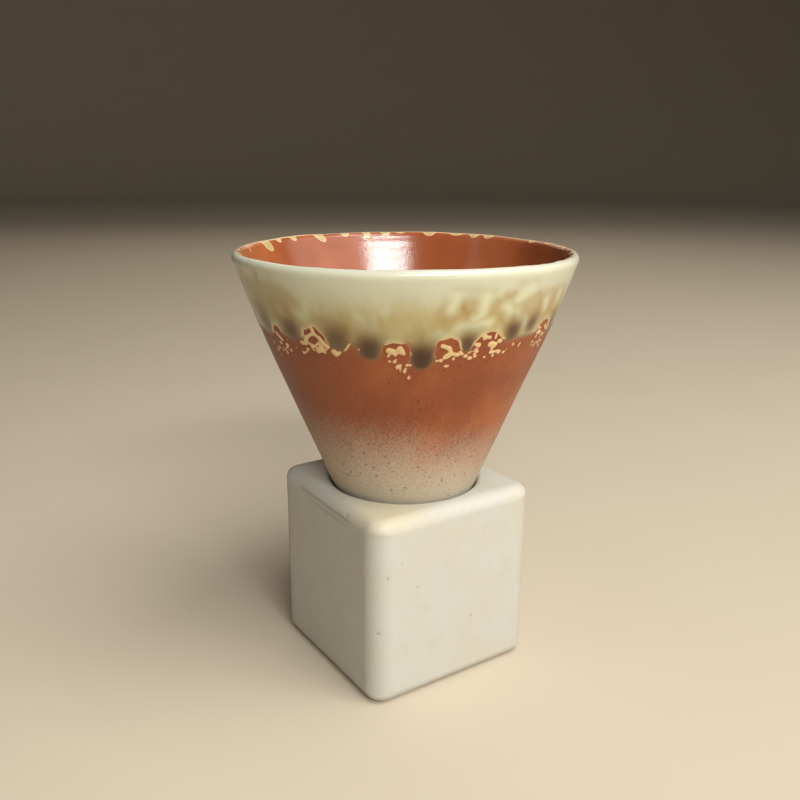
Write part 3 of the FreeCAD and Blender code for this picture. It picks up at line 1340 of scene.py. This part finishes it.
    def relief(self, grid: np.ndarray, turn: np.ndarray, inwards: np.ndarray,
               fields: dict[str, np.ndarray]) -> np.ndarray:
        """Height of the surface above the plain cup.

        The hand-thrown wall wanders by a few tenths of a millimetre above the stand, the cream
        glaze stands proud with a fat edge, the inside opens a little just under the lip, and faint
        throwing rings run round the inside.

        Args:
            grid: Points by ring and column.
            turn: Degrees from the front.
            inwards: Millimetres from the crest.
            fields: What fields() worked out.

        Returns:
            Millimetres out of the clay.
        """
        outside = inwards < 0.0
        free = smooth_step(self.stand_top, self.stand_top + 12.0, grid[..., 2])
        wander = Grain(self.seed + 7).at(grid, 26.0) * 0.22 + Grain(self.seed + 8).at(grid, 7.0) * 0.05
        wander = wander * free * np.where(outside, 1.0, 0.6)
        cream = np.maximum(fields["cream"], fields["islands"])
        bead = 0.10 * smooth_step(-0.1, 0.5, cream) + 0.10 * fields["smoke"] * smooth_step(0.0, 1.2, cream)
        roll = 0.06 * np.exp(-((cream - 0.5) / 0.4) ** 2)
        run = 0.14 * smooth_step(-0.15, 0.4, fields["lining"])
        flare = -0.06 * smooth_step(4.6, 0.9, inwards)
        thrown = 0.012 * np.sin(inwards * 2.1 + 0.8 * wave(turn, 1.0))
        return wander + np.where(outside, bead + roll, run + thrown + flare * smooth_step(0.0, 0.6, inwards))

    def build(self) -> bpy.types.Object:
        """Make the cup's mesh.

        The plain cup is (r cos a, r sin a, z) for each ring and column. The relief moves each
        point along the normal, and the lip also rises and dips a little round the cup.

        Returns:
            The cup.
        """
        rings = self.rings()
        angle = np.linspace(0.0, 2.0 * math.pi, self.columns, endpoint=False)
        radius, height, inwards = (column[:, None] + np.zeros(self.columns) for column in rings.T)
        turn = turn_from(FRONT, np.degrees(angle)[None, :] + np.zeros_like(radius))
        grid = np.stack([radius * np.cos(angle), radius * np.sin(angle), height], axis=-1)
        fields = self.fields(grid, turn, inwards)
        relief = self.relief(grid, turn, inwards, fields)
        shaped = grid + grid_normals(grid, 1.0) * relief[..., None]
        near_lip = smooth_step(self.overall_height - 12.0, self.overall_height, height)
        scallop = 0.16 * wave(turn, 2.0, 70.0) + 0.10 * wave(turn, 5.0) + 0.05 * wave(turn, 13.0, 20.0)
        shaped[..., 2] += near_lip * scallop
        cup = closed_skin("glazed_cup", shaped, (rings[0, 1], rings[-1, 1]), 1.0, fields)
        cup.data.materials.append(self.finish.material())
        return cup

    def place(self) -> list[bpy.types.Object]:
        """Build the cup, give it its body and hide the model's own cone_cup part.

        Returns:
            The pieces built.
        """
        cup = self.build()
        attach(cup, Body.CUP.value)
        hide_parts("cone_cup")
        return [cup]


# ---------------------------------------------------------------- the stand

@dataclass(frozen=True)
class Pit:
    """A small hollow in the stand's clay."""

    spot: tuple[float, float, float]     # millimetres
    radius: float
    depth: float


RIDGE_PITS = (
    Pit((-26.9, -12.6, 52.6), 0.55, 0.3),
    Pit((-26.9, -21.2, 52.1), 0.6, 0.3),
    Pit((-26.6, -23.6, 51.6), 0.45, 0.25),
    Pit((-23.3, -27.3, 38.9), 0.5, 0.35),
    Pit((-25.7, -26.1, 22.5), 0.5, 0.4),
    Pit((-18.9, -27.5, 42.4), 0.4, 0.25),
    Pit((5.0, -27.5, 19.0), 0.45, 0.35),
)


TOOL_LINES = (                # height, start and end along Y, all in millimetres, and strength
    (51.7, -14.5, 14.0, 1.0),
    (49.9, -12.0, 9.0, 0.55),
)
STAND_SPACINGS = (            # distance along the outline from the top of a side, and the spacing
    (-34.0, 1.6),             # well's wall
    (-15.0, 0.8),
    (-7.2, 0.5),
    (-6.6, 0.012),            # where the flat top turns into the edge
    (-6.2, 0.36),             # edge, sides and bottom edge
    (4.0, 0.44),
    (47.0, 0.5),
    (56.0, 0.5),
    (62.0, 2.2),              # underside and pocket
)


@dataclass
class CubeStand:
    """The stand: a soft-edged cube with the cup's well above and a pocket below."""

    side: float = 55.0
    upright_edge: float = 6.0
    top_edge: float = 4.0
    bottom_edge: float = 3.5
    well_floor: float = 31.0
    well_gap: float = 0.4
    well_lip: float = 1.8
    well_corner: float = 1.5
    wall: float = 8.0
    floor_thickness: float = 7.0
    pocket_taper: float = 3.0
    pocket_edge: float = 4.0
    stain_centre: tuple[float, float, float] = (-20.0, -20.0, 55.0)
    stain_reach: tuple[float, float, float] = (10.0, 10.0, 4.0)
    columns: int = 480
    seed: int = 64
    cup: ConeCup = field(default_factory=ConeCup)
    finish: StandClay = field(default_factory=StandClay)

    def outline(self) -> tuple[np.ndarray, np.ndarray]:
        """Middle half-section from the well's floor, over the top, down a side and up the pocket.

        Returns:
            Close points of the outline, and the corner radius of the squared ring at each.
        """
        half = self.side / 2
        offset = self.cup.wall / 2 + self.well_gap
        floor = self.cup.cone_at(self.well_floor, offset)
        mouth = self.cup.cone_at(self.side, offset)
        pocket_half = half - self.wall
        roof = self.well_floor - self.floor_thickness
        roof_half = pocket_half - math.tan(math.radians(self.pocket_taper)) * roof
        line = Outline()
        corners: list[tuple[int, float]] = []

        def mark(radius: float) -> None:
            """Note the corner radius at the outline's last point."""
            corners.append((len(line.points()) - 1, radius))

        line.run((0.4, self.well_floor))
        mark(0.4)
        line.arc(*rounded(np.array([0.0, self.well_floor]), floor, mouth, self.well_corner))
        mark(line.points()[-1][0])
        line.arc(*rounded(floor, mouth, np.array([half, self.side]), self.well_lip))
        mark(line.points()[-1][0])
        inner = half - self.top_edge
        line.arc((inner, self.side - self.top_edge), self.top_edge, 90.0, 0.0)
        top_start = len(line.points()) - 1 - int(math.pi / 2 * self.top_edge / line.STEP)
        corners.append((top_start, self.upright_edge - self.top_edge))
        mark(self.upright_edge)
        line.run((half, self.bottom_edge))
        mark(self.upright_edge)
        line.arc((half - self.bottom_edge, self.bottom_edge), self.bottom_edge, 0.0, -90.0)
        mark(self.upright_edge - self.bottom_edge)
        line.run((pocket_half, 0.0))
        mark(self.pocket_edge)
        line.arc(*rounded(np.array([pocket_half, 0.0]), np.array([roof_half, roof]),
                          np.array([0.0, roof]), self.pocket_edge))
        mark(0.3)
        line.run((0.4, roof))
        mark(0.05)
        index, radius = zip(*corners)
        points = line.points()
        return points, np.minimum(np.interp(np.arange(len(points)), index, radius), points[:, 0])

    def rings(self) -> np.ndarray:
        """Rings of the mesh: half side, height, corner radius and stretch of the outline.

        Returns:
            One row for each ring. The stretch is the length along the outline so far.
        """
        points, corners = self.outline()
        along = length_along(points)
        top = along[np.argmax(points[:, 0] > self.side / 2 - 0.01)]
        near_top = [(top + place, spacing) for place, spacing in STAND_SPACINGS]
        wishes = ((0.0, 1.4), *near_top, (1000.0, 2.4))
        return spaced_rings(points, along, wishes, np.column_stack([corners, along]))

    @staticmethod
    def reach(angle: np.ndarray, half: np.ndarray, corner: np.ndarray) -> np.ndarray:
        """Distance from the axis to a rounded square, in a direction.

        With a and b the greater and the lesser of |cos| and |sin|, it is half / a on a flat side. Round
        a corner, with k = half - corner, it is k(a + b) + sqrt(k^2 (a + b)^2 - 2 k^2 + corner^2).

        Args:
            angle: Direction, in radians.
            half: Half the square's side.
            corner: Corner radius.

        Returns:
            The distance.
        """
        high = np.maximum(np.abs(np.cos(angle)), np.abs(np.sin(angle)))
        low = np.minimum(np.abs(np.cos(angle)), np.abs(np.sin(angle)))
        inset = half - corner
        both = inset * (high + low)
        inside = np.maximum(both ** 2 - 2.0 * inset ** 2 + corner ** 2, 0.0)
        flat = low * half <= high * inset
        return np.where(flat, half / high, both + np.sqrt(inside))

    def crease(self, grid: np.ndarray) -> np.ndarray:
        """Two faint tooling lines along the top of the left side, each a narrow groove.

        Args:
            grid: Points by ring and column.

        Returns:
            Depth of the grooves, 0 to 1.
        """
        left = grid[..., 0] < -self.side / 2 + 3.0
        total = np.zeros(grid.shape[:2])
        along = grid[..., 1]
        for height, start, end, strength in TOOL_LINES:
            across = (grid[..., 2] - height - 0.02 * along) / 0.42
            length = smooth_step(start - 2.0, start + 2.0, along) * smooth_step(end + 2.0, end - 2.0, along)
            total += strength * np.exp(-across ** 2) * length
        return np.where(left, total, 0.0)

    def pits(self, grid: np.ndarray) -> tuple[np.ndarray, np.ndarray]:
        """Small round hollows, each depth * (1 - (distance / radius) ** 2) where that is positive.

        Args:
            grid: Points by ring and column.

        Returns:
            Depth of the hollows in millimetres, and the painted shade of each hollow, 0 to 1, darker where it
            is deeper.
        """
        random = np.random.default_rng(self.seed)
        half = self.side / 2
        pits = list(RIDGE_PITS)
        for _ in range(30):
            face = random.integers(4)
            slide, height = random.uniform(-24.0, 24.0), random.uniform(5.0, 50.0)
            side = half if face % 2 == 0 else -half
            spot = (side, slide, height) if face < 2 else (slide, side, height)
            pits.append(Pit(spot, random.uniform(0.28, 0.45), random.uniform(0.08, 0.25)))
        depth = np.zeros(grid.shape[:2])
        shade = np.zeros(grid.shape[:2])
        for pit in pits:
            share = np.linalg.norm(grid - np.array(pit.spot), axis=-1) / pit.radius
            bowl = np.maximum(1.0 - share ** 2, 0.0)
            depth = np.maximum(depth, pit.depth * bowl)
            shade = np.maximum(shade, bowl * pit.depth * 1.8)
        return depth, shade

    def build(self) -> bpy.types.Object:
        """Make the stand's mesh.

        Each ring is a rounded square at one height, reach(angle) * (cos, sin). The corner radius
        grows to half the side inside the well, where the rings are circles.

        Returns:
            The stand.
        """
        rings = self.rings()
        angle = np.linspace(0.0, 2.0 * math.pi, self.columns, endpoint=False) + math.pi / 4
        half, height, corner, along = (column[:, None] + np.zeros(self.columns) for column in rings.T)
        reach = self.reach(angle + np.zeros_like(half), half, corner)
        grid = np.stack([reach * np.cos(angle), reach * np.sin(angle), height], axis=-1)
        top = rings[np.argmax(rings[:, 0] > self.side / 2 - 0.01), 3]
        free = smooth_step(top - 6.5, top - 2.0, along) * smooth_step(1.5, 5.0, height) * (along < top + 52.0)
        wander = Grain(self.seed + 1).at(grid, 24.0) * 0.16 + Grain(self.seed + 2).at(grid, 5.0) * 0.04
        depth, shade = self.pits(grid)
        crease = self.crease(grid)
        relief = (wander - 0.14 * crease) * free - depth * (height > 3.0)
        shaped = grid + grid_normals(grid, -1.0) * relief[..., None]
        from_stain = (grid - self.stain_centre) / self.stain_reach
        fields = {
            # pit: painted shade in the hollows, darker in deeper ones, and in the tooling grooves.
            "pit": np.clip(shade + 0.4 * crease, 0.0, 1.0),
            "stain": 0.6 * np.exp(-np.sum(from_stain ** 2, axis=-1)) * (height > 50.0),
        }
        stand = closed_skin("clay_stand", shaped, (rings[0, 1], rings[-1, 1]), -1.0, fields)
        stand.data.materials.append(self.finish.material())
        return stand

    def place(self) -> list[bpy.types.Object]:
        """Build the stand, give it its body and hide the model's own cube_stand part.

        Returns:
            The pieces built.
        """
        stand = self.build()
        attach(stand, Body.STAND.value)
        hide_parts("cube_stand")
        return [stand]


# ---------------------------------------------------------------- room, lights and camera

DAYLIGHT = (1.0, 1.0, 1.0, 1.0)
OFF_WHITE = (1.0, 0.995, 0.985, 1.0)
LAMPLIGHT = (1.0, 0.97, 0.93, 1.0)
WARM = (1.0, 0.86, 0.68, 1.0)
WARM_ROOM = (1.0, 0.8, 0.55, 1.0)


@dataclass
class Studio:
    """Pale floor under the object, and soft lights round it."""

    flat: float = 2.4         # metres from the object to where the paper starts to rise
    flat_rings: tuple[float, ...] = (0.5, 1.0, 1.7)   # metres, radii of the flat stretch's rings
    bend: float = 1.4         # metres, radius of the bend
    aim: float = 0.09         # metres above the floor: the point that every light faces
    top: float = 3.6          # metres
    columns: int = 96
    finish: FloorFinish = field(default_factory=FloorFinish)

    def floor(self) -> bpy.types.Object:
        """Sheet of paper that lies flat round the object and bends up far behind it, all round.

        A profile is turned about the axis: (r cos a, r sin a, z). It runs out flat, then along
        (flat + bend sin t, bend - bend cos t), then straight up.

        Returns:
            The floor.
        """
        bend = np.radians(np.linspace(0.0, 90.0, 24))
        far = self.flat + self.bend
        radius = np.concatenate([self.flat_rings, self.flat + self.bend * np.sin(bend), [far]])
        level = np.zeros(len(self.flat_rings))
        height = np.concatenate([level, self.bend * (1.0 - np.cos(bend)), [self.top]])
        angle = np.linspace(0.0, 2.0 * math.pi, self.columns, endpoint=False)
        ring = np.stack([np.cos(angle), np.sin(angle), np.ones_like(angle)], axis=-1)
        grid = ring[None] * np.stack([radius, radius, height], axis=-1)[:, None]
        index = np.arange(grid.shape[0] * self.columns).reshape(-1, self.columns)
        right = np.roll(index, -1, axis=1)
        quads = np.stack([index[:-1], index[1:], right[1:], right[:-1]], axis=-1).reshape(-1, 4)
        mesh = bpy.data.meshes.new("paper_floor")
        mesh.from_pydata(grid.reshape(-1, 3).tolist(), [], [index[0].tolist(), *quads.tolist()])
        mesh.polygons.foreach_set("use_smooth", np.ones(len(mesh.polygons), bool))
        floor = bpy.data.objects.new("paper_floor", mesh)
        bpy.context.scene.collection.objects.link(floor)
        mesh.materials.append(self.finish.material())
        return floor

    def lamp(self, kind: Light, azimuth: float, elevation: float, distance: float,
             size: tuple[float, float], power: float, tint: Colour) -> None:
        """Hang a soft rectangular light that faces the object.

        Args:
            kind: What the light is for.
            azimuth: Degrees round from +X.
            elevation: Degrees above the floor.
            distance: Metres from the object.
            size: Width and height, in metres.
            power: Watts.
            tint: Its colour.
        """
        lamp = bpy.data.lights.new(kind.value, "AREA")
        lamp.shape = "RECTANGLE"
        lamp.size, lamp.size_y = size
        lamp.energy = power
        lamp.color = tint[:3]
        holder = bpy.data.objects.new(kind.value, lamp)
        bpy.context.scene.collection.objects.link(holder)
        round_, up = math.radians(azimuth), math.radians(elevation)
        away = np.array([math.cos(round_) * math.cos(up), math.sin(round_) * math.cos(up), math.sin(up)])
        side = np.array([-math.sin(round_), math.cos(round_), 0.0])
        turn = np.stack([side, np.cross(away, side), away], axis=-1)
        place = away * distance + np.array([0.0, 0.0, self.aim])
        rows = np.column_stack([turn, place])
        holder.matrix_world = Matrix([*rows.tolist(), [0.0, 0.0, 0.0, 1.0]])

    def world(self) -> None:
        """Fill the room with dim, even, slightly warm light."""
        world = bpy.data.worlds.new("soft_room")
        bpy.context.scene.world = world
        world.use_nodes = True
        background = world.node_tree.nodes["Background"]
        background.inputs["Color"].default_value = WARM_ROOM
        background.inputs["Strength"].default_value = 0.02

    def build(self) -> None:
        """Set up the floor, the lights and the way brightness is shown."""
        self.floor()
        self.lamp(Light.WINDOW, 252.5, 33.0, 0.95, (0.5, 0.11), 8.0, DAYLIGHT)
        self.lamp(Light.WALL, 306.0, 30.0, 1.25, (1.5, 1.2), 10.6, OFF_WHITE)
        self.lamp(Light.CEILING, 290.0, 62.0, 1.1, (0.7, 0.7), 10.2, OFF_WHITE)
        self.lamp(Light.LAMP, 174.0, 30.0, 1.0, (0.035, 0.035), 0.06, LAMPLIGHT)
        self.lamp(Light.BACK, 60.0, 32.0, 1.3, (1.0, 0.7), 2.2, WARM)
        self.world()
        bpy.context.scene.view_settings.view_transform = "Standard"


@dataclass
class Viewpoint:
    """The camera: where it stands, which way it looks and its lens."""

    place: tuple[float, float, float] = (-134.6, -198.4, 149.0)   # millimetres
    pan: float = 33.86        # degrees from +Y towards +X
    tilt: float = 16.48       # degrees down
    roll: float = 0.33        # degrees
    lens: float = 38.47       # millimetres, on a 36 mm sensor

    def build(self) -> bpy.types.Object:
        """Set up the camera and look through it.

        Its forward direction is (sin pan cos tilt, cos pan cos tilt, -sin tilt).

        Returns:
            The camera.
        """
        pan, tilt, roll = (math.radians(angle) for angle in (self.pan, self.tilt, self.roll))
        forward = np.array([math.sin(pan) * math.cos(tilt), math.cos(pan) * math.cos(tilt), -math.sin(tilt)])
        level = np.array([math.cos(pan), -math.sin(pan), 0.0])
        upright = np.cross(level, forward)
        right = math.cos(roll) * level + math.sin(roll) * upright
        up = math.cos(roll) * upright - math.sin(roll) * level
        rows = np.column_stack([right, up, -forward, np.array(self.place) * MM])
        data = bpy.data.cameras.new("camera")
        data.sensor_width = 36.0
        data.lens = self.lens
        data.clip_start = 0.01
        camera = bpy.data.objects.new("camera", data)
        bpy.context.scene.collection.objects.link(camera)
        camera.matrix_world = Matrix([*rows.tolist(), [0.0, 0.0, 0.0, 1.0]])
        bpy.context.scene.camera = camera
        return camera


def write_size() -> None:
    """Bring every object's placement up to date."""
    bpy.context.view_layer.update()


def main() -> None:
    """Build the camera, the studio, the stand and the cup, and report each piece."""
    logging.basicConfig(level=logging.INFO, format="%(message)s")
    Viewpoint().build()
    Studio().build()
    for assembly in (CubeStand(), ConeCup()):
        for piece in assembly.place():
            mesh = piece.data
            log.info("%s: %d points, %d faces", piece.name, len(mesh.vertices), len(mesh.polygons))
    write_size()


if __name__ == "__main__":
    main()
